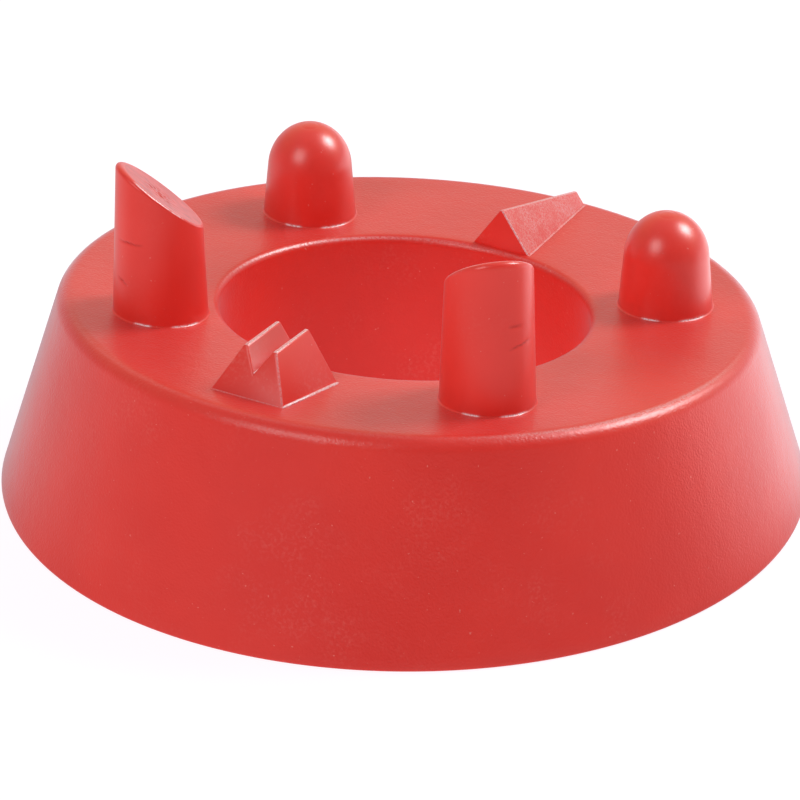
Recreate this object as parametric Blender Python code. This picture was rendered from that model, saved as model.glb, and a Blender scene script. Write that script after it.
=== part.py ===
"""Rugby kicking tee: a hollow ring with a tilted deck that carries four posts and two ridges.

Metres, +Z up, origin on the ground at the ring's centre. The tee is mirrored about X = 0.
The front, -Y, is the high side of the deck and carries the notched ridge.
"""

from math import atan2, cos, hypot, pi, radians, sin, tan

import bmesh
import bpy
from mathutils import Vector

MM = 0.001

# Driving dimensions.
BASE_RADIUS = 85.2 * MM
SKIRT_DRAFT = radians(16.7)
DECK_HEIGHT = 40.8 * MM
DECK_TILT = radians(4.8)
DECK_DISH = 0.6 * MM
THROAT_RADIUS = 38.8 * MM
WALL = 5.0 * MM
DECK_THICKNESS = 6.0 * MM
FIT_GAP = 0.3 * MM

# Rounded edges of the ring.
RIM_ROUND = 3.6 * MM
THROAT_ROUND = 1.7 * MM
FOOT_ROUND = 0.8 * MM
CHANNEL_ROUND = 2.0 * MM

# Posts, placed on a circle by their bearing from the front or the back.
POST_FOOT_RADIUS = 9.9 * MM
SPIGOT_RADIUS = 4.5 * MM
SPIGOT_LENGTH = 5.2 * MM
SLANT_BEARING = radians(49.6)
SLANT_CIRCLE = 51.4 * MM
SLANT_FACING = radians(43.5)
SLANT_TOP_RADIUS = 9.0 * MM
SLANT_HEIGHT = 27.6 * MM
SLANT_RISE = tan(radians(40.5))
SLANT_LOW_ROUND = 0.4 * MM
SLANT_HIGH_ROUND = 2.0 * MM
DOME_BEARING = radians(52.5)
DOME_CIRCLE = 55.0 * MM
DOME_RADIUS = 9.0 * MM
DOME_RISE = 9.9 * MM
DOME_HEIGHT = 20.7 * MM

# Notched ridge at the front: two fins with a V between them.
NOTCHED_OUTER_Y = -62.8 * MM
NOTCHED_INNER_Y = -43.9 * MM
NOTCHED_OUTER_HALF = 8.6 * MM
NOTCHED_INNER_HALF = 10.4 * MM
FIN_OUTER_Y = -57.3 * MM
FIN_INNER_Y = -44.7 * MM
FIN_X = 3.4 * MM
FIN_HALF_WIDTH = 0.4 * MM
FIN_TOP = 54.8 * MM
NOTCH_BOTTOM = 50.1 * MM

# Plain ridge at the back: a roof shape that falls towards the rim.
PLAIN_INNER_Y = 40.1 * MM
PLAIN_OUTER_Y = 72.6 * MM
PLAIN_INNER_HALF = 7.0 * MM
PLAIN_OUTER_HALF = 2.5 * MM
PLAIN_INNER_RISE = 8.8 * MM
PLAIN_OUTER_RISE = 2.4 * MM
CREST_HALF_WIDTH = 0.3 * MM

# Tongues that hold the ridges in slots through the deck.
TONGUE_HALF_WIDTH = 2.5 * MM
TONGUE_OVERLAP = 1.0 * MM
NOTCHED_TONGUE_Y = (-60.0 * MM, -48.0 * MM)
PLAIN_TONGUE_Y = (46.5 * MM, 58.5 * MM)
CUTTER_MARGIN = 4.0 * MM

RING_SEGMENTS = 96
POST_SEGMENTS = 32
WIDE_ARC = 5
SMALL_ARC = 3
DOME_STEPS = 9
CROWN_ANGLE = radians(86.0)
RED = (0.62, 0.030, 0.020, 1.0)


def clear_scene():
    for item in list(bpy.data.objects):
        bpy.data.objects.remove(item)


def moulded_red(name, roughness):
    material = bpy.data.materials.new(name)
    material.use_nodes = True
    shader = material.node_tree.nodes["Principled BSDF"]
    shader.inputs["Base Color"].default_value = RED
    shader.inputs["Roughness"].default_value = roughness
    shader.inputs["Metallic"].default_value = 0.0
    material.diffuse_color = RED
    return material


def loft(name, rings, closed=False):
    """A solid through rings of points. An open loft is capped at both ends."""
    shape = bmesh.new()
    rows = [[shape.verts.new(point) for point in ring] for ring in rings]
    count = len(rows[0])
    following = rows[1:] + rows[:1] if closed else rows[1:]
    for row, upper in zip(rows, following):
        for i in range(count):
            j = (i + 1) % count
            shape.faces.new((row[i], row[j], upper[j], upper[i]))
    if not closed:
        shape.faces.new(rows[0])
        shape.faces.new(rows[-1])
    bmesh.ops.recalc_face_normals(shape, faces=shape.faces)
    mesh = bpy.data.meshes.new(name)
    shape.to_mesh(mesh)
    shape.free()
    part = bpy.data.objects.new(name, mesh)
    bpy.context.scene.collection.objects.link(part)
    return part


def smooth(part, material):
    part.data.materials.append(material)
    part.data.shade_smooth()
    part.data.set_sharp_from_angle(angle=radians(35))


def rounded(corners):
    """An outline from corners of (point, radius, steps). A corner with no steps stays sharp."""
    outline = []
    for i, (corner, radius, steps) in enumerate(corners):
        corner = Vector(corner)
        if steps == 0:
            outline.append(corner)
            continue
        back = (Vector(corners[i - 1][0]) - corner).normalized()
        ahead = (Vector(corners[(i + 1) % len(corners)][0]) - corner).normalized()
        half = back.angle(ahead) / 2
        centre = corner + (back + ahead).normalized() * (radius / sin(half))
        start = (corner + back * (radius / tan(half)) - centre).normalized()
        end = (corner + ahead * (radius / tan(half)) - centre).normalized()
        for step in range(steps + 1):
            outline.append(centre + start.slerp(end, step / steps) * radius)
    return outline


def rim_radius(angle):
    """Where the tilted deck plane meets the drafted skirt, before the edge is rounded."""
    fall = tan(DECK_TILT) * sin(angle)
    return (BASE_RADIUS - tan(SKIRT_DRAFT) * DECK_HEIGHT) / (1 - tan(SKIRT_DRAFT) * fall)


def deck_height(x, y):
    """The deck is a tilted plane, dished a little towards the throat."""
    rim = rim_radius(atan2(y, x))
    dish = DECK_DISH * (rim - hypot(x, y)) / (rim - THROAT_RADIUS)
    return DECK_HEIGHT - tan(DECK_TILT) * y - dish


def ring_section(angle):
    """The ring's cross-section at an angle, as points in space."""
    across = Vector((cos(angle), sin(angle)))
    rim = rim_radius(angle)
    rim_z = deck_height(*(across * rim))
    throat_z = deck_height(*(across * THROAT_RADIUS))
    channel_inner = THROAT_RADIUS + WALL
    channel_inner_z = deck_height(*(across * channel_inner)) - DECK_THICKNESS
    skirt = WALL / cos(SKIRT_DRAFT)
    channel_outer = rim - skirt + DECK_THICKNESS * tan(SKIRT_DRAFT)
    channel_outer_z = rim_z - DECK_THICKNESS
    outline = rounded(
        [
            ((BASE_RADIUS, 0), FOOT_ROUND, SMALL_ARC),
            ((rim, rim_z), RIM_ROUND, WIDE_ARC),
            ((THROAT_RADIUS, throat_z), THROAT_ROUND, SMALL_ARC),
            ((THROAT_RADIUS, 0), FOOT_ROUND, SMALL_ARC),
            ((channel_inner, 0), 0, 0),
            ((channel_inner, channel_inner_z), CHANNEL_ROUND, SMALL_ARC),
            ((channel_outer, channel_outer_z), CHANNEL_ROUND, SMALL_ARC),
            ((BASE_RADIUS - skirt, 0), 0, 0),
        ]
    )
    return [(across.x * r, across.y * r, z) for r, z in outline]


def make_ring():
    angles = [2 * pi * i / RING_SEGMENTS for i in range(RING_SEGMENTS)]
    return loft("base_ring", [ring_section(angle) for angle in angles], closed=True)


def circle(x, y, radius, height):
    """Points round (x, y). height is a number, or a function of x and y."""
    points = []
    for i in range(POST_SEGMENTS):
        angle = 2 * pi * i / POST_SEGMENTS
        px = x + radius * cos(angle)
        py = y + radius * sin(angle)
        points.append((px, py, height(px, py) if callable(height) else height))
    return points


def seat_height(x, y):
    return deck_height(x, y) + FIT_GAP


def spigot_rings(x, y):
    low = deck_height(x, y) - SPIGOT_LENGTH
    return [
        circle(x, y, SPIGOT_RADIUS, low),
        circle(x, y, SPIGOT_RADIUS, seat_height),
        circle(x, y, POST_FOOT_RADIUS, seat_height),
    ]


def slant_ring(x, y, turn):
    """Points round the slanted cut's edge, whose rounding grows from the low to the high side."""
    side = 1 if x > 0 else -1
    facing = Vector((side * sin(SLANT_FACING), -cos(SLANT_FACING)))
    middle = deck_height(x, y) + SLANT_HEIGHT
    points = []
    for i in range(POST_SEGMENTS):
        angle = 2 * pi * i / POST_SEGMENTS
        uphill = facing.dot((cos(angle), sin(angle)))
        share = ((1 + uphill) / 2) ** 3
        edge = SLANT_LOW_ROUND + (SLANT_HIGH_ROUND - SLANT_LOW_ROUND) * share
        radius = SLANT_TOP_RADIUS - edge * (1 - cos(turn))
        height = middle + SLANT_RISE * radius * uphill - edge * (1 - sin(turn))
        points.append((x + radius * cos(angle), y + radius * sin(angle), height))
    return points


def make_slant_post(name, x, y):
    """A drafted round post whose top is cut at a slant, low towards the ring's centre."""
    rings = spigot_rings(x, y)
    for step in range(SMALL_ARC + 1):
        rings.append(slant_ring(x, y, pi / 2 * step / SMALL_ARC))
    return loft(name, rings)


def make_dome_post(name, x, y):
    """A drafted round post with a domed head, a little taller than a half ball."""
    centre = deck_height(x, y) + DOME_HEIGHT - DOME_RISE
    rings = spigot_rings(x, y)
    for step in range(DOME_STEPS):
        turn = CROWN_ANGLE * step / (DOME_STEPS - 1)
        rings.append(circle(x, y, DOME_RADIUS * cos(turn), centre + DOME_RISE * sin(turn)))
    return loft(name, rings)


def box(name, half_width, y_range, z_range):
    rings = []
    for z in z_range:
        low_y, high_y = y_range
        rings.append(
            [
                (-half_width, low_y, z),
                (half_width, low_y, z),
                (half_width, high_y, z),
                (-half_width, high_y, z),
            ]
        )
    return loft(name, rings)


def combine(part, other, operation):
    """A Boolean with a helper object that no render shows."""
    other.hide_render = True
    other.display_type = "WIRE"
    modifier = part.modifiers.new(other.name, "BOOLEAN")
    modifier.operation = operation
    modifier.object = other


def tongue_range(y_range):
    """The tongue's lowest and highest level, from inside the deck into the ridge above it."""
    low = deck_height(0, y_range[1]) - SPIGOT_LENGTH
    high = deck_height(0, y_range[0]) + TONGUE_OVERLAP
    return low, high


def add_tongue(part, y_range):
    tongue = box(part.name + "_tongue", TONGUE_HALF_WIDTH, y_range, tongue_range(y_range))
    combine(part, tongue, "UNION")


def make_notched_ridge():
    """An M-shaped section: sloping sides, two narrow fins and a V between them."""
    rings = []
    for base_y, top_y, half in (
        (NOTCHED_OUTER_Y, FIN_OUTER_Y, NOTCHED_OUTER_HALF),
        (NOTCHED_INNER_Y, FIN_INNER_Y, NOTCHED_INNER_HALF),
    ):
        base_z = seat_height(half, base_y)
        notch_y = base_y + (top_y - base_y) * (NOTCH_BOTTOM - base_z) / (FIN_TOP - base_z)
        right = [
            (half, base_y, base_z),
            (FIN_X + FIN_HALF_WIDTH, top_y, FIN_TOP),
            (FIN_X - FIN_HALF_WIDTH, top_y, FIN_TOP),
        ]
        left = [(-x, y, z) for x, y, z in reversed(right)]
        rings.append(right + [(0, notch_y, NOTCH_BOTTOM)] + left)
    ridge = loft("notched_ridge", rings)
    add_tongue(ridge, NOTCHED_TONGUE_Y)
    return ridge


def make_plain_ridge():
    """A roof shape, widest and highest beside the throat."""
    rings = []
    for y, half, rise in (
        (PLAIN_INNER_Y, PLAIN_INNER_HALF, PLAIN_INNER_RISE),
        (PLAIN_OUTER_Y, PLAIN_OUTER_HALF, PLAIN_OUTER_RISE),
    ):
        base_z = seat_height(half, y)
        rings.append(
            [
                (half, y, base_z),
                (CREST_HALF_WIDTH, y, base_z + rise),
                (-CREST_HALF_WIDTH, y, base_z + rise),
                (-half, y, base_z),
            ]
        )
    ridge = loft("plain_ridge", rings)
    add_tongue(ridge, PLAIN_TONGUE_Y)
    return ridge


def cut_socket(ring, name, x, y):
    """A round hole through the deck for a post's spigot."""
    radius = SPIGOT_RADIUS + FIT_GAP
    top = deck_height(x, y) + CUTTER_MARGIN
    bottom = deck_height(x, y) - DECK_THICKNESS - CUTTER_MARGIN
    cutter = loft(name, [circle(x, y, radius, bottom), circle(x, y, radius, top)])
    combine(ring, cutter, "DIFFERENCE")


def cut_slot(ring, name, y_range):
    """A slot through the deck for a ridge's tongue."""
    low, high = tongue_range(y_range)
    y_wide = (y_range[0] - FIT_GAP, y_range[1] + FIT_GAP)
    z_wide = (low - CUTTER_MARGIN, high + CUTTER_MARGIN)
    cutter = box(name, TONGUE_HALF_WIDTH + FIT_GAP, y_wide, z_wide)
    combine(ring, cutter, "DIFFERENCE")


def main():
    clear_scene()
    satin = moulded_red("satin_red", 0.35)
    grained = moulded_red("grained_red", 0.45)
    ring = make_ring()
    smooth(ring, grained)
    for side, sign in (("left", -1), ("right", 1)):
        slant_x = sign * SLANT_CIRCLE * sin(SLANT_BEARING)
        slant_y = -SLANT_CIRCLE * cos(SLANT_BEARING)
        smooth(make_slant_post("slant_post_" + side, slant_x, slant_y), satin)
        cut_socket(ring, "slant_socket_" + side, slant_x, slant_y)
        dome_x = sign * DOME_CIRCLE * sin(DOME_BEARING)
        dome_y = DOME_CIRCLE * cos(DOME_BEARING)
        smooth(make_dome_post("dome_post_" + side, dome_x, dome_y), satin)
        cut_socket(ring, "dome_socket_" + side, dome_x, dome_y)
    smooth(make_notched_ridge(), satin)
    cut_slot(ring, "notched_slot", NOTCHED_TONGUE_Y)
    smooth(make_plain_ridge(), satin)
    cut_slot(ring, "plain_slot", PLAIN_TONGUE_Y)


main()
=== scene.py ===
from math import atan2, cos, degrees, hypot, pi, radians, sin, tan

import bmesh
import bpy
from mathutils import Matrix, Vector, noise


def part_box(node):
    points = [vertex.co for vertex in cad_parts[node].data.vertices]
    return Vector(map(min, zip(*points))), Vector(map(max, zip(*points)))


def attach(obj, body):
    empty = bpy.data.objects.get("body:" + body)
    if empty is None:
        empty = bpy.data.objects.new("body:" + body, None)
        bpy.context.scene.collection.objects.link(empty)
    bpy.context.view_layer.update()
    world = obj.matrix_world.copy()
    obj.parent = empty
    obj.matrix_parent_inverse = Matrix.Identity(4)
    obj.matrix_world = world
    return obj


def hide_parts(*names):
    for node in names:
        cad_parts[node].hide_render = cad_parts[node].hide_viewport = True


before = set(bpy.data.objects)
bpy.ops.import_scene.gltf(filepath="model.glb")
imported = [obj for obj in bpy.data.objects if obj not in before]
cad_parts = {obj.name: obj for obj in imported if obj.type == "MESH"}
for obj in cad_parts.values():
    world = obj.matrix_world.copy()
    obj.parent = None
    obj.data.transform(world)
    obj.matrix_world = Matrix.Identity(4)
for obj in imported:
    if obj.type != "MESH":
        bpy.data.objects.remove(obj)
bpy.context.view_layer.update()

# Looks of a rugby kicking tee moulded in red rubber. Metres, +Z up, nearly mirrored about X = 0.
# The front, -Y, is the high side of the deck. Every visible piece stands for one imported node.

MM = 0.001

# The ring's shape, as it was designed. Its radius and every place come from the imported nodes.
SKIRT_DRAFT = radians(16.7)
DECK_TILT = radians(4.8)
DECK_HEIGHT = 40.8 * MM
DECK_DISH = 0.6 * MM
THROAT_RADIUS = 38.8 * MM
WALL = 5.0 * MM
DECK_THICKNESS = 6.0 * MM
FIT_GAP = 0.3 * MM
RIM_ROUND = 3.6 * MM
THROAT_ROUND = 1.7 * MM
FOOT_ROUND = 0.8 * MM
CHANNEL_ROUND = 2.0 * MM
RING_SEGMENTS = 480

# Posts.
POST_SEGMENTS = 160
POST_FILLET = 0.45 * MM
FILLET_STEPS = 8
FILLET_SINK = 0.02 * MM
WALL_STEPS = 90

# The slanted posts.
SLANT_FACING = radians(43.5)
SLANT_TOP_RADIUS = 9.0 * MM
SLANT_RISE = tan(radians(40.5))
SLANT_LOW_ROUND = 0.4 * MM
SLANT_HIGH_ROUND = {"left": 1.9 * MM, "right": 2.8 * MM}
SLANT_DESIGNED_ROUND = 2.0 * MM
SLANT_TRIM = {"left": -0.55 * MM, "right": 0.9 * MM}
CROWN_STEPS = 8
CUT_STEPS = 30
CUT_DISH = 0.3 * MM
CUT_MARK_DEPTH = 0.32 * MM
CUT_MARK_REACH = 3.0 * MM
CUT_RIPPLE = 0.02 * MM
# How strongly the slanted cut face is darkened, mottled by noise, as painted shade.
CUT_PAINTED_SHADE = 0.5

# The domed posts. The arc starts where it is tangent to the drafted wall.
DOME_RADIUS = 9.0 * MM
DOME_RISE = 9.9 * MM
DOME_START = radians(6.6)
DOME_CROWN = radians(86.0)
DOME_END = radians(89.5)
DOME_WALL_STEPS = 24
DOME_STEPS = 72
DOME_TRIM = {"left": -0.2 * MM, "right": 0.35 * MM}
SCAR_RADIUS = 1.8 * MM
SCAR_WIDTH = 0.3 * MM
SCAR_DEPTH = 0.05 * MM

# Creases in the walls of the slanted posts: turn from the front towards +X in degrees, height over
# the deck in millimetres, half-length in degrees, rise in millimetres from end to end.
CREASES = {
    "left": ((-10.0, 17.8, 22.0, 0.5), (-22.0, 8.7, 10.0, -1.0)),
    "right": ((66.0, 19.8, 12.0, -0.2), (74.0, 15.4, 19.0, 1.2)),
}
CREASE_DEPTH = 0.30 * MM
CREASE_WIDTH = 0.32 * MM

# Ridges.
EDGE_ROUND = 0.35 * MM
EDGE_ANGLE = radians(20)
SEAM_SIDES = 12
FIN_X = 3.4 * MM
FIN_HALF_WIDTH = 0.4 * MM
NOTCH_DEPTH = 4.7 * MM
NOTCHED_OUTER_HALF = 8.6 * MM
FIN_SETBACK = 5.5 * MM
FIN_INNER_SETBACK = 0.8 * MM
# How dark the notch's inner walls are painted, as painted shade.
NOTCH_PAINTED_SHADE = 0.45
PLAIN_OUTER_HALF = 2.5 * MM
PLAIN_OUTER_RISE = 2.4 * MM
CREST_HALF_WIDTH = 0.3 * MM

# Stretches of painted highlight: from and to in degrees, softness in degrees, strength. They run
# from the front towards +X, but round the throat from the back towards +X.
RIM_HIGHLIGHT = ((35, 110, 25, 0.40), (-60, 45, 20, 0.06))
THROAT_HIGHLIGHT = ((-125, -5, 40, 0.5), (-30, 45, 30, 0.2))
FOOT_HIGHLIGHT = ((-2, 22, 4, 1.0), (44, 84, 6, 1.0))
CUT_EDGE_HIGHLIGHT = {"left": ((-8, 68, 8, 1.0),), "right": ((-12, 14, 5, 1.0), (52, 92, 8, 1.0))}

# Colours of the rubber.
# The posts and ridges get a brighter red than the ring, though all are one rubber: painted light
# that makes up for the shade they get.
LIT_POST_RED = (0.97, 0.054, 0.040, 1.0)
RED = (0.90, 0.042, 0.029, 1.0)
DEEP_RED = (0.84, 0.034, 0.024, 1.0)
PALE_RED = (0.92, 0.26, 0.22, 1.0)
# Pale frost, random in grain, but on upward slopes only, where it stands in for sheen: partly
# painted light.
FROST_AND_SHEEN = (0.92, 0.42, 0.42, 1.0)
# Pale pink of the painted highlights on edges, and of one real scratch in the notch.
HIGHLIGHT_AND_SCRATCH_PINK = (1.0, 0.78, 0.82, 1.0)
# Dark red of painted shade in creases, on the slanted cut faces and on the notch's inner walls.
PAINTED_SHADE_RED = (0.50, 0.020, 0.020, 1.0)
SHEEN_TINT = (0.70, 0.88, 1.0, 1.0)
IOR = 1.55
SHEEN_ROUGHNESS = 0.30
COAT_ROUGHNESS = 0.33
THROAT_SHEEN = 0.35

# Camera, in the direction from which the tee is shown.
CAMERA_AZIMUTH = radians(30.5)
CAMERA_ELEVATION = radians(27.69)
CAMERA_DISTANCE = 1.4795
CAMERA_AIM_HEIGHT = 18.13 * MM
CAMERA_AIM_LEFT = 0.90 * MM
CAMERA_ROLL = radians(0.375)
CAMERA_LENS = 315.0
TOWARDS_CAMERA = Vector((sin(CAMERA_AZIMUTH), -cos(CAMERA_AZIMUTH), 0))
RIGHTWARD = Vector((cos(CAMERA_AZIMUTH), sin(CAMERA_AZIMUTH), 0))

# Studio. The surroundings that the tee mirrors, by direction.
LIGHT_DISTANCE = 1.6
FLOOR_RADIUS = 60.0
FLOOR_COLOUR = (0.22, 0.22, 0.22, 1)
FLOOR_GLOW_COLOUR = (0.98, 0.96, 1.0, 1)
FLOOR_GLOW = 0.90
HORIZON = (0.78, 0.77, 0.84, 1)
BACKDROP = (0.80, 0.74, 0.50, 1)
ZENITH = (0.46, 0.46, 0.46, 1)
NEAR_SIDE = (0.14, 0.14, 0.15, 1)
LEFT_SIDE = (0.10, 0.10, 0.12, 1)
FRONT = (0.07, 0.07, 0.07, 1)
WHITE = (1, 1, 1, 1)
WARM_WHITE = (1.0, 0.98, 0.97)
COOL_WHITE = (0.97, 0.96, 1.0)


# ---------------------------------------------------------------- meshes

def mesh_object(name, points, faces):
    mesh = bpy.data.meshes.new(name)
    mesh.from_pydata(points, [], faces)
    mesh.validate()
    shape = bmesh.new()
    shape.from_mesh(mesh)
    bmesh.ops.recalc_face_normals(shape, faces=shape.faces)
    shape.to_mesh(mesh)
    shape.free()
    piece = bpy.data.objects.new(name, mesh)
    bpy.context.scene.collection.objects.link(piece)
    return piece


def loft(name, rings, closed=False):
    """A closed surface through rings of points. An open loft is capped at both ends."""
    count = len(rings[0])
    points = [point for ring in rings for point in ring]
    faces = []
    rows = len(rings) if closed else len(rings) - 1
    for row in range(rows):
        low = row * count
        high = ((row + 1) % len(rings)) * count
        for i in range(count):
            j = (i + 1) % count
            faces.append((low + i, low + j, high + j, high + i))
    if not closed:
        faces.append(tuple(reversed(range(count))))
        faces.append(tuple(range(len(points) - count, len(points))))
    return mesh_object(name, points, faces)


def mark_highlight_shade_scratch(piece, values, domain="POINT"):
    """Stores a value for each vertex or face: 0 to 1 is painted highlight, and one real scratch,
    below 0 is painted shade.
    """
    layer = piece.data.attributes.new("highlight_shade_scratch", "FLOAT", domain)
    layer.data.foreach_set("value", values)


def band(value, low, high, soft):
    """1 between low and high, with soft ends."""
    rise = (value - low) / soft
    fall = (high - value) / soft
    return max(0.0, min(1.0, rise, fall))


def stretches(bearing, table):
    return sum(strength * band(bearing, low, high, soft) for low, high, soft, strength in table)


def bearing_of(point, x=0.0, y=0.0):
    """Degrees from the front towards +X at which the point is seen from (x, y)."""
    return degrees(atan2(point.x - x, y - point.y))


def bell(value, width):
    """1 at 0, and one half at width."""
    return 2 ** -((value / width) ** 2)


def rounded(corners):
    """An outline from corners of (point, radius, arc steps, steps along the run after it)."""
    outline = []
    for i, (corner, radius, steps, run) in enumerate(corners):
        corner = Vector(corner)
        if radius == 0:
            arc = [corner]
        else:
            back = (Vector(corners[i - 1][0]) - corner).normalized()
            ahead = (Vector(corners[(i + 1) % len(corners)][0]) - corner).normalized()
            half = back.angle(ahead) / 2
            centre = corner + (back + ahead).normalized() * (radius / sin(half))
            start = (corner + back * (radius / tan(half)) - centre).normalized()
            end = (corner + ahead * (radius / tan(half)) - centre).normalized()
            arc = [centre + start.slerp(end, k / steps) * radius for k in range(steps + 1)]
        outline.append((arc, run))
    points = []
    for i, (arc, run) in enumerate(outline):
        points.extend(arc)
        following = outline[(i + 1) % len(outline)][0][0]
        points.extend(arc[-1].lerp(following, k / run) for k in range(1, run))
    return points


# ---------------------------------------------------------------- ring

# The skirt and the ground would meet at this radius, if the foot weren't rounded.
FOOT_CORNER = (pi / 2 - SKIRT_DRAFT) / 2
BASE_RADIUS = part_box("base_ring")[1].x + FOOT_ROUND * (1 / tan(FOOT_CORNER) - 1)


def rim_radius(angle):
    """Where the tilted deck plane meets the drafted skirt, before the edge is rounded."""
    fall = tan(DECK_TILT) * sin(angle)
    return (BASE_RADIUS - tan(SKIRT_DRAFT) * DECK_HEIGHT) / (1 - tan(SKIRT_DRAFT) * fall)


def deck_height(x, y):
    """The deck is a tilted plane, dished a little towards the throat."""
    rim = rim_radius(atan2(y, x))
    dish = DECK_DISH * (rim - hypot(x, y)) / (rim - THROAT_RADIUS)
    return DECK_HEIGHT - tan(DECK_TILT) * y - dish


def ring_section(angle):
    """The closed outline of the hollow ring in the half-plane at this angle about Z."""
    across = Vector((cos(angle), sin(angle)))
    rim = rim_radius(angle)
    rim_z = deck_height(*(across * rim))
    throat_z = deck_height(*(across * THROAT_RADIUS))
    channel_inner = THROAT_RADIUS + WALL
    channel_inner_z = deck_height(*(across * channel_inner)) - DECK_THICKNESS
    skirt = WALL / cos(SKIRT_DRAFT)
    channel_outer = rim - skirt + DECK_THICKNESS * tan(SKIRT_DRAFT)
    channel_outer_z = rim_z - DECK_THICKNESS
    outline = rounded(
        [
            ((BASE_RADIUS, 0), FOOT_ROUND, 5, 20),
            ((rim, rim_z), RIM_ROUND, 16, 20),
            ((THROAT_RADIUS, throat_z), THROAT_ROUND, 10, 14),
            ((THROAT_RADIUS, 0), FOOT_ROUND, 5, 2),
            ((channel_inner, 0), 0, 0, 4),
            ((channel_inner, channel_inner_z), CHANNEL_ROUND, 5, 4),
            ((channel_outer, channel_outer_z), CHANNEL_ROUND, 5, 4),
            ((BASE_RADIUS - skirt, 0), 0, 0, 2),
        ]
    )
    return [(across.x * r, across.y * r, z) for r, z in outline]


def rim_highlight(point):
    """Painted highlight on the rounding of the rim, most on its right."""
    radius = hypot(point.x, point.y)
    rim = rim_radius(atan2(point.y, point.x))
    if radius < rim - 3.0 * MM or point.z < deck_height(point.x, point.y) - 2.2 * MM:
        return 0.0
    across = band(radius, rim - 2.1 * MM, rim - 0.9 * MM, 0.5 * MM)
    return across * stretches(bearing_of(point), RIM_HIGHLIGHT)


def throat_highlight(point):
    """Painted highlight along the upper edge of the throat, most on its left and rear."""
    outward = hypot(point.x, point.y) - THROAT_RADIUS
    if outward > 1.5 * MM or point.z < deck_height(point.x, point.y) - 1.6 * MM:
        return 0.0
    across = band(outward, 0.25 * MM, 0.95 * MM, 0.35 * MM)
    return across * stretches(degrees(atan2(point.x, point.y)), THROAT_HIGHLIGHT)


def make_ring():
    angles = [2 * pi * i / RING_SEGMENTS for i in range(RING_SEGMENTS)]
    ring = loft("tee_ring", [ring_section(angle) for angle in angles], closed=True)
    mark_highlight_shade_scratch(ring, [max(throat_highlight(v.co), rim_highlight(v.co)) for v in ring.data.vertices])
    return ring


# ---------------------------------------------------------------- posts

def circle(x, y, radius, height):
    """Points round (x, y). height is a function of x and y."""
    points = []
    for i in range(POST_SEGMENTS):
        angle = 2 * pi * i / POST_SEGMENTS
        px = x + radius * cos(angle)
        py = y + radius * sin(angle)
        points.append(Vector((px, py, height(px, py))))
    return points


def foot_rings(x, y, foot_radius):
    """The closed underside and the concave fillet that runs out onto the deck."""
    def over_deck(rise):
        return lambda px, py: deck_height(px, py) + rise

    rings = [circle(x, y, foot_radius * share, over_deck(-FIT_GAP)) for share in (0.1, 0.5, 1.0)]
    for step in range(FILLET_STEPS + 1):
        turn = pi / 2 * step / FILLET_STEPS
        radius = foot_radius + POST_FILLET * (1 - sin(turn))
        rise = POST_FILLET * (1 - cos(turn)) - FILLET_SINK
        rings.append(circle(x, y, radius, over_deck(rise)))
    return rings


def between(ring, other, share):
    return [point.lerp(end, share) for point, end in zip(ring, other)]


def post_place(node):
    """A post's axis, foot radius and summit height, from its box."""
    low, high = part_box(node)
    return (low.x + high.x) / 2, (low.y + high.y) / 2, (high.x - low.x) / 2, high.z


def foot_highlight(point, x, y):
    """Painted highlight where a post meets the deck, in two short arcs."""
    height = point.z - deck_height(point.x, point.y)
    if height > POST_FILLET:
        return 0.0
    return stretches(bearing_of(point, x, y), FOOT_HIGHLIGHT) * band(height, 0, POST_FILLET, 0.12 * MM)


def uphill_from(x):
    """The direction in which the slanted cut of the post at x climbs."""
    side = 1 if x > 0 else -1
    return Vector((side * sin(SLANT_FACING), -cos(SLANT_FACING)))


def slant_ring(x, y, middle, high_round, turn):
    """Points round the slanted cut's edge, whose rounding grows from the low to the high side."""
    facing = uphill_from(x)
    points = []
    for i in range(POST_SEGMENTS):
        angle = 2 * pi * i / POST_SEGMENTS
        uphill = facing.dot((cos(angle), sin(angle)))
        share = ((1 + uphill) / 2) ** 3
        edge = SLANT_LOW_ROUND + (high_round - SLANT_LOW_ROUND) * share
        radius = SLANT_TOP_RADIUS - edge * (1 - cos(turn))
        height = middle + SLANT_RISE * radius * uphill - edge * (1 - sin(turn))
        points.append(Vector((x + radius * cos(angle), y + radius * sin(angle), height)))
    return points


def crease_depth(point, x, y, side):
    """How far a short crease sinks into the wall at a point."""
    height = point.z - deck_height(point.x, point.y)
    depth = 0.0
    for turn, level, half, rise in CREASES[side]:
        along = (bearing_of(point, x, y) - turn) / half
        if abs(along) < 1:
            wander = 0.25 * MM * noise.noise(point / (2 * MM))
            off = (height - (level + rise * along / 2) * MM + wander) / CREASE_WIDTH
            depth += CREASE_DEPTH * (1 - along ** 2) * 2 ** -(off ** 2 * 3)
    return depth


def cut_edge_highlight(point, x, y, middle, side):
    """Painted highlight along the edge of the slanted cut, on the side away from the summit."""
    offset = Vector((point.x - x, point.y - y))
    if offset.length < SLANT_TOP_RADIUS - 1.5 * MM:
        return 0.0
    under = middle + SLANT_RISE * uphill_from(x).dot(offset) - point.z
    along = stretches(bearing_of(point, x, y), CUT_EDGE_HIGHLIGHT[side])
    return along * band(under, 0.02 * MM, 0.30 * MM, 0.08 * MM)


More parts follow.
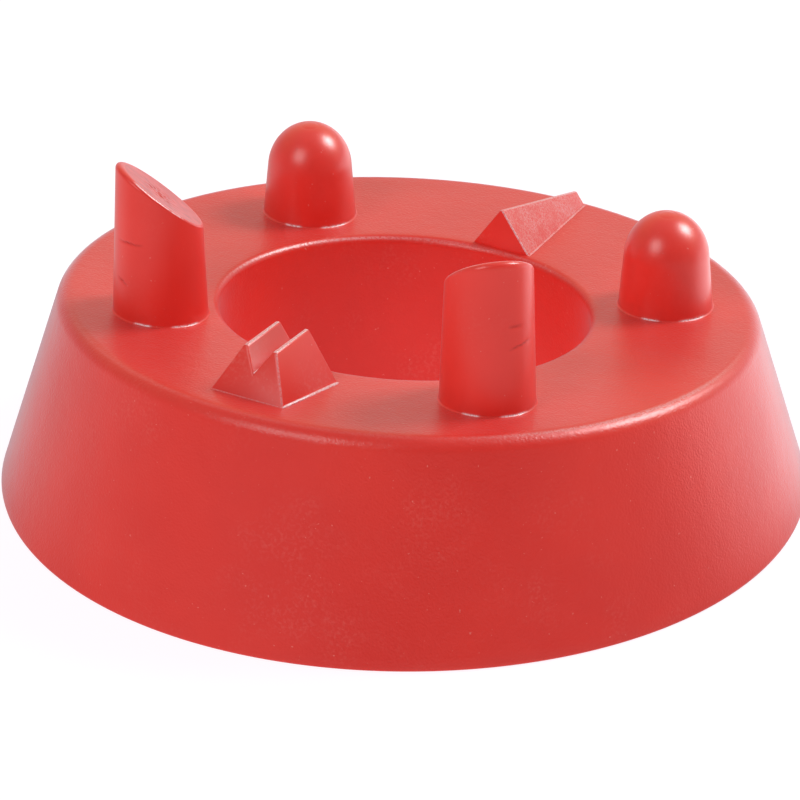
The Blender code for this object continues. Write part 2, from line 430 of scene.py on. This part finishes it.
def make_slant_post(name, node, side):
    x, y, foot_radius, top = post_place(node)
    arc = [pi / 2 * step / CROWN_STEPS for step in range(CROWN_STEPS + 1)]
    designed = [slant_ring(x, y, 0.0, SLANT_DESIGNED_ROUND, turn) for turn in arc]
    middle = top - max(point.z for ring in designed for point in ring) + SLANT_TRIM[side]
    crown = [slant_ring(x, y, middle, SLANT_HIGH_ROUND[side], turn) for turn in arc]
    rings = foot_rings(x, y, foot_radius)
    foot = rings[-1]
    for step in range(1, WALL_STEPS):
        wall = between(foot, crown[0], step / WALL_STEPS)
        for point in wall:
            inward = Vector((x - point.x, y - point.y, 0)).normalized()
            point += inward * crease_depth(point, x, y, side)
        rings.append(wall)
    rings.extend(crown)
    cut_start = len(rings) * POST_SEGMENTS
    centre = Vector((x, y, middle))
    for step in range(1, CUT_STEPS):
        share = 1 - step / CUT_STEPS
        face = between([centre] * POST_SEGMENTS, crown[-1], share)
        for point in face:
            near = bell((point - centre).length, CUT_MARK_REACH)
            mark = CUT_MARK_DEPTH * near * noise.noise(point / (0.8 * MM))
            ripple = CUT_RIPPLE * noise.noise(point / (2.5 * MM))
            point.z += mark + ripple - CUT_DISH * (1 - share ** 2)
        rings.append(face)
    post = loft(name, rings)
    highlight_shade_scratch = []
    for vertex in post.data.vertices:
        place = vertex.co
        painted_highlight = max(foot_highlight(place, x, y), cut_edge_highlight(place, x, y, middle, side))
        # Painted shade: the creases, and the whole slanted cut face, are darkened.
        painted_shade = crease_depth(place, x, y, side) / CREASE_DEPTH
        if vertex.index >= cut_start:
            painted_shade = CUT_PAINTED_SHADE * (1 + noise.noise(place / (2 * MM)))
        highlight_shade_scratch.append(painted_highlight or -painted_shade)
    mark_highlight_shade_scratch(post, highlight_shade_scratch)
    return post


def make_dome_post(name, node, side):
    x, y, foot_radius, top = post_place(node)
    centre = top - DOME_RISE * sin(DOME_CROWN) + DOME_TRIM[side]

    def dome_ring(turn):
        radius = DOME_RADIUS * cos(turn)
        scar = SCAR_DEPTH * bell(radius - SCAR_RADIUS, SCAR_WIDTH)
        return circle(x, y, radius, lambda px, py: centre + DOME_RISE * sin(turn) - scar)

    rings = foot_rings(x, y, foot_radius)
    foot = rings[-1]
    shoulder = dome_ring(DOME_START)
    for step in range(1, DOME_WALL_STEPS):
        rings.append(between(foot, shoulder, step / DOME_WALL_STEPS))
    for step in range(DOME_STEPS + 1):
        rings.append(dome_ring(DOME_START + (DOME_END - DOME_START) * step / DOME_STEPS))
    post = loft(name, rings)
    mark_highlight_shade_scratch(post, [foot_highlight(vertex.co, x, y) for vertex in post.data.vertices])
    return post


# ---------------------------------------------------------------- ridges

def add_seam(shape, start, end, radius):
    """A thin bead along the line where a ridge meets the deck. Returns its faces."""
    along = (end - start).normalized()
    across = along.cross(Vector((0, 0, 1))).normalized()
    upward = across.cross(along)
    rows = []
    for share in (0.0, 0.04, 0.5, 0.96, 1.0):
        size = radius * (0.3 if share in (0.0, 1.0) else 1.0)
        centre = start.lerp(end, share)
        row = []
        for i in range(SEAM_SIDES):
            turn = 2 * pi * i / SEAM_SIDES
            row.append(shape.verts.new(centre + (across * cos(turn) + upward * sin(turn)) * size))
        rows.append(row)
    faces = [shape.faces.new(rows[0]), shape.faces.new(list(reversed(rows[-1])))]
    for row, following in zip(rows, rows[1:]):
        for i in range(SEAM_SIDES):
            j = (i + 1) % SEAM_SIDES
            faces.append(shape.faces.new((row[i], following[i], following[j], row[j])))
    return faces


def no_painted_shade(place, normal):
    return 0.0


def finish_edges(piece, wear_and_highlight, seams, painted_shade=no_painted_shade):
    """Rounds every edge and adds seams of (start, end, radius, strength), whose strength paints a
    highlight on the bead, except in the notch where it marks a real scratch.

    The two functions take a face's middle and normal. The first gives the painted highlight on a
    rounded face, the second the painted shade on a flat one.
    """
    shape = bmesh.new()
    shape.from_mesh(piece.data)
    edges = [edge for edge in shape.edges if edge.calc_face_angle(0) > EDGE_ANGLE]
    rounded_faces = bmesh.ops.bevel(
        shape,
        geom=edges,
        offset=EDGE_ROUND,
        offset_type="OFFSET",
        segments=4,
        profile=0.5,
        affect="EDGES",
        clamp_overlap=True,
    )["faces"]
    shape.normal_update()
    highlight_shade_scratch = {face: -painted_shade(face.calc_center_median(), face.normal) for face in shape.faces}
    for face in rounded_faces:
        highlight_shade_scratch[face] = wear_and_highlight(face.calc_center_median(), face.normal)
    for start, end, radius, strength in seams:
        for face in add_seam(shape, Vector(start), Vector(end), radius):
            highlight_shade_scratch[face] = strength
    shape.normal_update()
    shape.faces.index_update()
    values = [highlight_shade_scratch[face] for face in shape.faces]
    shape.to_mesh(piece.data)
    shape.free()
    mark_highlight_shade_scratch(piece, values, "FACE")


def make_notched_ridge():
    """Two fins with a V between them."""
    low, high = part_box("notched_ridge")
    notch_floor = high.z - NOTCH_DEPTH
    rings = []
    for base_y, top_y, half in (
        (low.y, low.y + FIN_SETBACK, NOTCHED_OUTER_HALF),
        (high.y, high.y - FIN_INNER_SETBACK, high.x),
    ):
        base_z = deck_height(half, base_y) - FIT_GAP
        notch_y = base_y + (top_y - base_y) * (notch_floor - base_z) / (high.z - base_z)
        right = [
            (half, base_y, base_z),
            (FIN_X + FIN_HALF_WIDTH, top_y, high.z),
            (FIN_X - FIN_HALF_WIDTH, top_y, high.z),
        ]
        left = [(-px, py, pz) for px, py, pz in reversed(right)]
        rings.append(right + [(0, notch_y, notch_floor)] + left)
    ridge = loft("notched_block", rings)
    gouge_y = rings[0][3][1]
    gouge_z = notch_floor + 0.1 * MM

    # Painted highlights on the fin tops and on the front of the right face.
    def wear_and_highlight(place, normal):
        if place.z > high.z - 0.6 * MM:
            return 1.0 if normal.z > 0.88 else 0.0
        return 0.35 if place.x > 0 and normal.x > 0.2 and place.y < low.y + FIN_SETBACK else 0.0

    # Painted shade on the inner walls of the notch.
    def painted_shade(place, normal):
        between_fins = abs(place.x) < FIN_X and place.z > gouge_z
        return NOTCH_PAINTED_SHADE if between_fins and abs(normal.x) > 0.5 else 0.0

    outer = (NOTCHED_OUTER_HALF, low.y, deck_height(NOTCHED_OUTER_HALF, low.y))
    inner = (high.x, high.y, deck_height(high.x, high.y))
    other = (-NOTCHED_OUTER_HALF, low.y, outer[2])
    # Seams: painted highlights along the ridge's base edges, and a real scratch across the notch
    # floor.
    seams = (
        (outer, inner, 0.38 * MM, 1.0),
        (other, outer, 0.15 * MM, 0.3),
        ((0, gouge_y + 0.3 * MM, gouge_z), (0, gouge_y + 3.6 * MM, gouge_z), 0.25 * MM, 1.0),
    )
    finish_edges(ridge, wear_and_highlight, seams, painted_shade)
    return ridge


def make_plain_ridge():
    """A roof whose crest falls towards the rim."""
    low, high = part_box("plain_ridge")
    outer_top = deck_height(PLAIN_OUTER_HALF, high.y) + FIT_GAP + PLAIN_OUTER_RISE
    rings = []
    for y, half, crest_z in ((low.y, high.x, high.z), (high.y, PLAIN_OUTER_HALF, outer_top)):
        base_z = deck_height(half, y) - FIT_GAP
        rings.append(
            [
                (half, y, base_z),
                (CREST_HALF_WIDTH, y, crest_z),
                (-CREST_HALF_WIDTH, y, crest_z),
                (-half, y, base_z),
            ]
        )
    ridge = loft("plain_block", rings)
    outer_base_z = rings[-1][0][2]

    # Painted highlights on the crest's rounded edges, on the right edges of the inner end, and on
    # the base seam.
    def wear_and_highlight(place, normal):
        if normal.z > 0.75 and place.z > outer_base_z + 1.5 * MM:
            return 0.45
        return 0.8 if place.y < low.y + 0.6 * MM and place.x > 0.5 * MM else 0.0

    inner = (high.x, low.y, deck_height(high.x, low.y))
    outer = (PLAIN_OUTER_HALF, high.y, deck_height(PLAIN_OUTER_HALF, high.y))
    finish_edges(ridge, wear_and_highlight, ((inner, outer, 0.25 * MM, 0.35),))
    return ridge


# ---------------------------------------------------------------- materials

class Nodes:
    """A short way to add and join shader nodes."""

    def __init__(self, tree):
        self.tree = tree

    def feed(self, socket, value):
        if isinstance(value, bpy.types.NodeSocket):
            self.tree.links.new(value, socket)
        else:
            socket.default_value = value

    def add(self, kind, inputs=None, **settings):
        node = self.tree.nodes.new(kind)
        for name, value in settings.items():
            setattr(node, name, value)
        for key, value in (inputs or {}).items():
            self.feed(node.inputs[key], value)
        return node

    def noise(self, place, size, detail=2.0):
        inputs = {"Vector": place, "Scale": 1 / size, "Detail": detail}
        return self.add("ShaderNodeTexNoise", inputs).outputs[0]

    def ramp(self, value, low, high, to_low=0.0, to_high=1.0):
        inputs = {"Value": value, "From Min": low, "From Max": high}
        inputs.update({"To Min": to_low, "To Max": to_high})
        return self.add("ShaderNodeMapRange", inputs, clamp=True).outputs["Result"]

    def mix(self, factor, one, two):
        node = self.add("ShaderNodeMix", {0: factor, 6: one, 7: two}, data_type="RGBA")
        return node.outputs[2]

    def multiply(self, one, two):
        return self.add("ShaderNodeMath", {0: one, 1: two}, operation="MULTIPLY").outputs[0]

    def plus(self, one, two):
        return self.add("ShaderNodeMath", {0: one, 1: two}, operation="ADD").outputs[0]

    def dot(self, one, two):
        inputs = {0: one, 1: two}
        return self.add("ShaderNodeVectorMath", inputs, operation="DOT_PRODUCT").outputs["Value"]

    def length(self, vector):
        node = self.add("ShaderNodeVectorMath", {0: vector}, operation="LENGTH")
        return node.outputs["Value"]


def frost_and_sheen(nodes, place, strength):
    """How strongly a random grainy frost shows, kept to slopes that face upwards, where it paints
    sheen.
    """
    normal = nodes.add("ShaderNodeTexCoord").outputs["Normal"]
    upward = nodes.add("ShaderNodeSeparateXYZ", {0: normal}).outputs["Z"]
    grains = nodes.ramp(nodes.noise(place, 0.4 * MM), 0.35, 0.65, 0.1, strength)
    clouds = nodes.ramp(nodes.noise(place, 5 * MM), 0.35, 0.60, 0.40, 1.0)
    return nodes.multiply(nodes.ramp(upward, 0.2, 0.5), nodes.multiply(grains, clouds))


def moulded_red(name, reds, roughness, grain, wear_and_highlight, sheen, coat=0.0, frost_sheen=0.0, bare_radius=0.0):
    """Red rubber: a slow drift of tone, pale specks and rubbed streaks, and a fine mould grain.

    Inside bare_radius about the Z axis there is less sheen.
    """
    material = bpy.data.materials.new(name)
    material.use_nodes = True
    tree = material.node_tree
    shader = tree.nodes["Principled BSDF"]
    shader.inputs["IOR"].default_value = IOR
    shader.inputs["Sheen Weight"].default_value = sheen
    shader.inputs["Sheen Roughness"].default_value = SHEEN_ROUGHNESS
    shader.inputs["Sheen Tint"].default_value = SHEEN_TINT
    shader.inputs["Coat Weight"].default_value = coat
    shader.inputs["Coat Roughness"].default_value = COAT_ROUGHNESS
    nodes = Nodes(tree)
    place = nodes.add("ShaderNodeTexCoord").outputs["Object"]

    if bare_radius:
        flat = nodes.add("ShaderNodeVectorMath", {0: place, 1: (1, 1, 0)}, operation="MULTIPLY")
        reach = nodes.length(flat.outputs[0])
        bloom = nodes.ramp(reach, bare_radius, bare_radius + 1 * MM, THROAT_SHEEN, sheen)
        tree.links.new(bloom, shader.inputs["Sheen Weight"])

    tone = nodes.noise(place, 30 * MM, 3)
    specks = nodes.ramp(nodes.noise(place, 0.8 * MM, 1), 0.76, 0.80)
    patches = nodes.ramp(nodes.noise(place, 14 * MM), 0.50, 0.72)
    streaks = nodes.multiply(nodes.ramp(nodes.noise(place, 0.7 * MM, 3), 0.48, 0.70), patches)
    scuffs = nodes.plus(nodes.multiply(specks, 0.6), nodes.multiply(streaks, wear_and_highlight))
    colour = nodes.mix(nodes.ramp(tone, 0.35, 0.65), *reds)
    colour = nodes.mix(scuffs, colour, PALE_RED)
    # Upward-facing slopes get a grainy pale frost that paints sheen.
    if frost_sheen:
        colour = nodes.mix(frost_and_sheen(nodes, place, frost_sheen), colour, FROST_AND_SHEEN)
    # The stored value paints highlights, and one real scratch, in pale pink, and painted shade in
    # dark red below 0.
    highlight_shade_scratch = nodes.add("ShaderNodeAttribute", attribute_name="highlight_shade_scratch").outputs["Fac"]
    broken = nodes.ramp(nodes.noise(place, 0.4 * MM), 0.25, 0.60)
    colour = nodes.mix(nodes.multiply(highlight_shade_scratch, broken), colour, HIGHLIGHT_AND_SCRATCH_PINK)
    colour = nodes.mix(nodes.multiply(highlight_shade_scratch, -0.7), colour, PAINTED_SHADE_RED)
    tree.links.new(colour, shader.inputs["Base Color"])

    smudges = nodes.noise(place, 16 * MM)
    gloss = nodes.ramp(smudges, 0.3, 0.7, roughness - 0.02, roughness + 0.02)
    gloss = nodes.plus(gloss, nodes.multiply(scuffs, 0.12))
    gloss = nodes.plus(gloss, nodes.multiply(highlight_shade_scratch, -0.03))
    tree.links.new(gloss, shader.inputs["Roughness"])

    waves = nodes.multiply(nodes.noise(place, 3.0 * MM), 0.8)
    height = nodes.plus(nodes.noise(place, 0.5 * MM), waves)
    bump = nodes.add("ShaderNodeBump", {"Height": height, "Strength": 1.0, "Distance": grain})
    tree.links.new(bump.outputs[0], shader.inputs["Normal"])
    return material


# ---------------------------------------------------------------- studio

def make_camera():
    back = TOWARDS_CAMERA * cos(CAMERA_ELEVATION) + Vector((0, 0, sin(CAMERA_ELEVATION)))
    place = back * CAMERA_DISTANCE
    aim = Vector((0, 0, CAMERA_AIM_HEIGHT)) - RIGHTWARD * CAMERA_AIM_LEFT
    data = bpy.data.cameras.new("camera")
    data.lens = CAMERA_LENS
    data.sensor_width = 36.0
    data.clip_end = 200.0
    camera = bpy.data.objects.new("camera", data)
    turn = (aim - place).to_track_quat("-Z", "Y").to_matrix().to_4x4()
    roll = Matrix.Rotation(CAMERA_ROLL, 4, "Z")
    camera.matrix_world = Matrix.Translation(place) @ turn @ roll
    bpy.context.scene.collection.objects.link(camera)
    bpy.context.scene.camera = camera


def softbox(name, direction, width, radiance, colour, glints_only=False):
    """A square light seen from the tee as width radians wide, pointing at it."""
    side = 2 * LIGHT_DISTANCE * tan(width / 2)
    data = bpy.data.lights.new(name, "AREA")
    data.shape = "SQUARE"
    data.size = side
    data.energy = radiance * pi * side * side
    data.color = colour
    lamp = bpy.data.objects.new(name, data)
    direction = Vector(direction).normalized()
    lamp.location = direction * LIGHT_DISTANCE
    lamp.rotation_mode = "QUATERNION"
    lamp.rotation_quaternion = direction.to_track_quat("Z", "Y")
    lamp.visible_diffuse = not glints_only
    bpy.context.scene.collection.objects.link(lamp)


def make_floor():
    """A pale floor with an even glow, which the tee mirrors mostly behind it and on its right."""
    shape = bmesh.new()
    bmesh.ops.create_circle(shape, cap_ends=True, radius=FLOOR_RADIUS, segments=64)
    mesh = bpy.data.meshes.new("floor")
    shape.to_mesh(mesh)
    shape.free()
    floor = bpy.data.objects.new("floor", mesh)
    bpy.context.scene.collection.objects.link(floor)
    material = bpy.data.materials.new("pale_floor")
    material.use_nodes = True
    shader = material.node_tree.nodes["Principled BSDF"]
    shader.inputs["Base Color"].default_value = FLOOR_COLOUR
    shader.inputs["Roughness"].default_value = 0.9
    shader.inputs["Specular IOR Level"].default_value = 0.2
    shader.inputs["Emission Color"].default_value = FLOOR_GLOW_COLOUR
    nodes = Nodes(material.node_tree)
    place = nodes.add("ShaderNodeTexCoord").outputs["Object"]
    to_right = nodes.ramp(nodes.dot(place, RIGHTWARD), 0.05, 0.10, 0.50, 1.6)
    outside = nodes.ramp(nodes.length(place), 0.080, 0.086)
    behind = nodes.ramp(nodes.dot(place, TOWARDS_CAMERA), -0.02, 0.06, 1.0, 0.0)
    mirrored_glow = nodes.multiply(nodes.multiply(to_right, outside), behind)
    mirrored = nodes.add("ShaderNodeLightPath").outputs["Is Glossy Ray"]
    glow = nodes.ramp(mirrored, 0.0, 1.0, FLOOR_GLOW, mirrored_glow)
    nodes.feed(shader.inputs["Emission Strength"], glow)
    mesh.materials.append(material)


def make_world():
    """White to the eye. In mirrors and as light, brightest low down behind the tee."""
    world = bpy.data.worlds.new("surroundings")
    bpy.context.scene.world = world
    world.use_nodes = True
    nodes = Nodes(world.node_tree)
    direction = nodes.add("ShaderNodeTexCoord").outputs["Generated"]
    height = nodes.add("ShaderNodeSeparateXYZ", {0: direction}).outputs["Z"]
    nearness = nodes.dot(direction, TOWARDS_CAMERA)
    leftness = nodes.dot(direction, -RIGHTWARD)
    colour = nodes.mix(nodes.ramp(height, 0.10, 0.40), HORIZON, BACKDROP)
    colour = nodes.mix(nodes.ramp(height, 0.62, 0.85), colour, ZENITH)
    colour = nodes.mix(nodes.ramp(nearness, -0.15, 0.35), colour, NEAR_SIDE)
    colour = nodes.mix(nodes.ramp(leftness, 0.25, 0.85, 0.0, 0.6), colour, LEFT_SIDE)
    colour = nodes.mix(nodes.ramp(nearness, 0.60, 0.90), colour, FRONT)
    seen = nodes.add("ShaderNodeLightPath").outputs["Is Camera Ray"]
    background = world.node_tree.nodes["Background"]
    nodes.feed(background.inputs["Color"], nodes.mix(seen, colour, WHITE))
    background.inputs["Strength"].default_value = 1.0


# ---------------------------------------------------------------- the object

def finish_piece(piece, node, material, angle=40):
    piece.data.materials.append(material)
    piece.data.shade_smooth()
    piece.data.set_sharp_from_angle(angle=radians(angle))
    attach(piece, "root")
    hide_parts(node)


def main():
    ring_reds = (RED, DEEP_RED)
    # Posts and ridges are painted brighter than the ring they are moulded with, as painted light.
    lit_post_reds = (LIT_POST_RED, RED)
    throat = THROAT_RADIUS + 0.3 * MM
    grained = moulded_red("grained_red", ring_reds, 0.34, 0.08 * MM, 0.16, 0.75, bare_radius=throat)
    satin = moulded_red("satin_red", lit_post_reds, 0.33, 0.010 * MM, 0.08, 0.20)
    polished = moulded_red("polished_red", lit_post_reds, 0.33, 0.010 * MM, 0.05, 0.10, coat=0.3)
    plain = moulded_red("ridge_red", lit_post_reds, 0.32, 0.012 * MM, 0.30, 0.10)
    frost_sheened = moulded_red("frost_sheened_red", lit_post_reds, 0.40, 0.06 * MM, 0.20, 0.30, frost_sheen=0.7)
    finish_piece(make_ring(), "base_ring", grained)
    for side in ("left", "right"):
        slant = "slant_post_" + side
        dome = "dome_post_" + side
        slanted = make_slant_post("slanted_post_" + side, slant, side)
        finish_piece(slanted, slant, satin)
        domed = make_dome_post("domed_post_" + side, dome, side)
        finish_piece(domed, dome, polished)
    finish_piece(make_notched_ridge(), "notched_ridge", plain, 30)
    finish_piece(make_plain_ridge(), "plain_ridge", frost_sheened, 30)
    make_camera()
    make_world()
    make_floor()
    softbox("key_light", (0.42, 0.56, 0.757), radians(18), 11.8, WARM_WHITE)
    softbox("glint_light", (0.49, 0.61, 0.74), radians(20), 14.5, COOL_WHITE, glints_only=True)
    softbox("front_light", (-0.12, -0.77, 0.63), radians(26), 4.9, WARM_WHITE)
    view = bpy.context.scene.view_settings
    view.view_transform = "Standard"
    view.look = "None"


main()
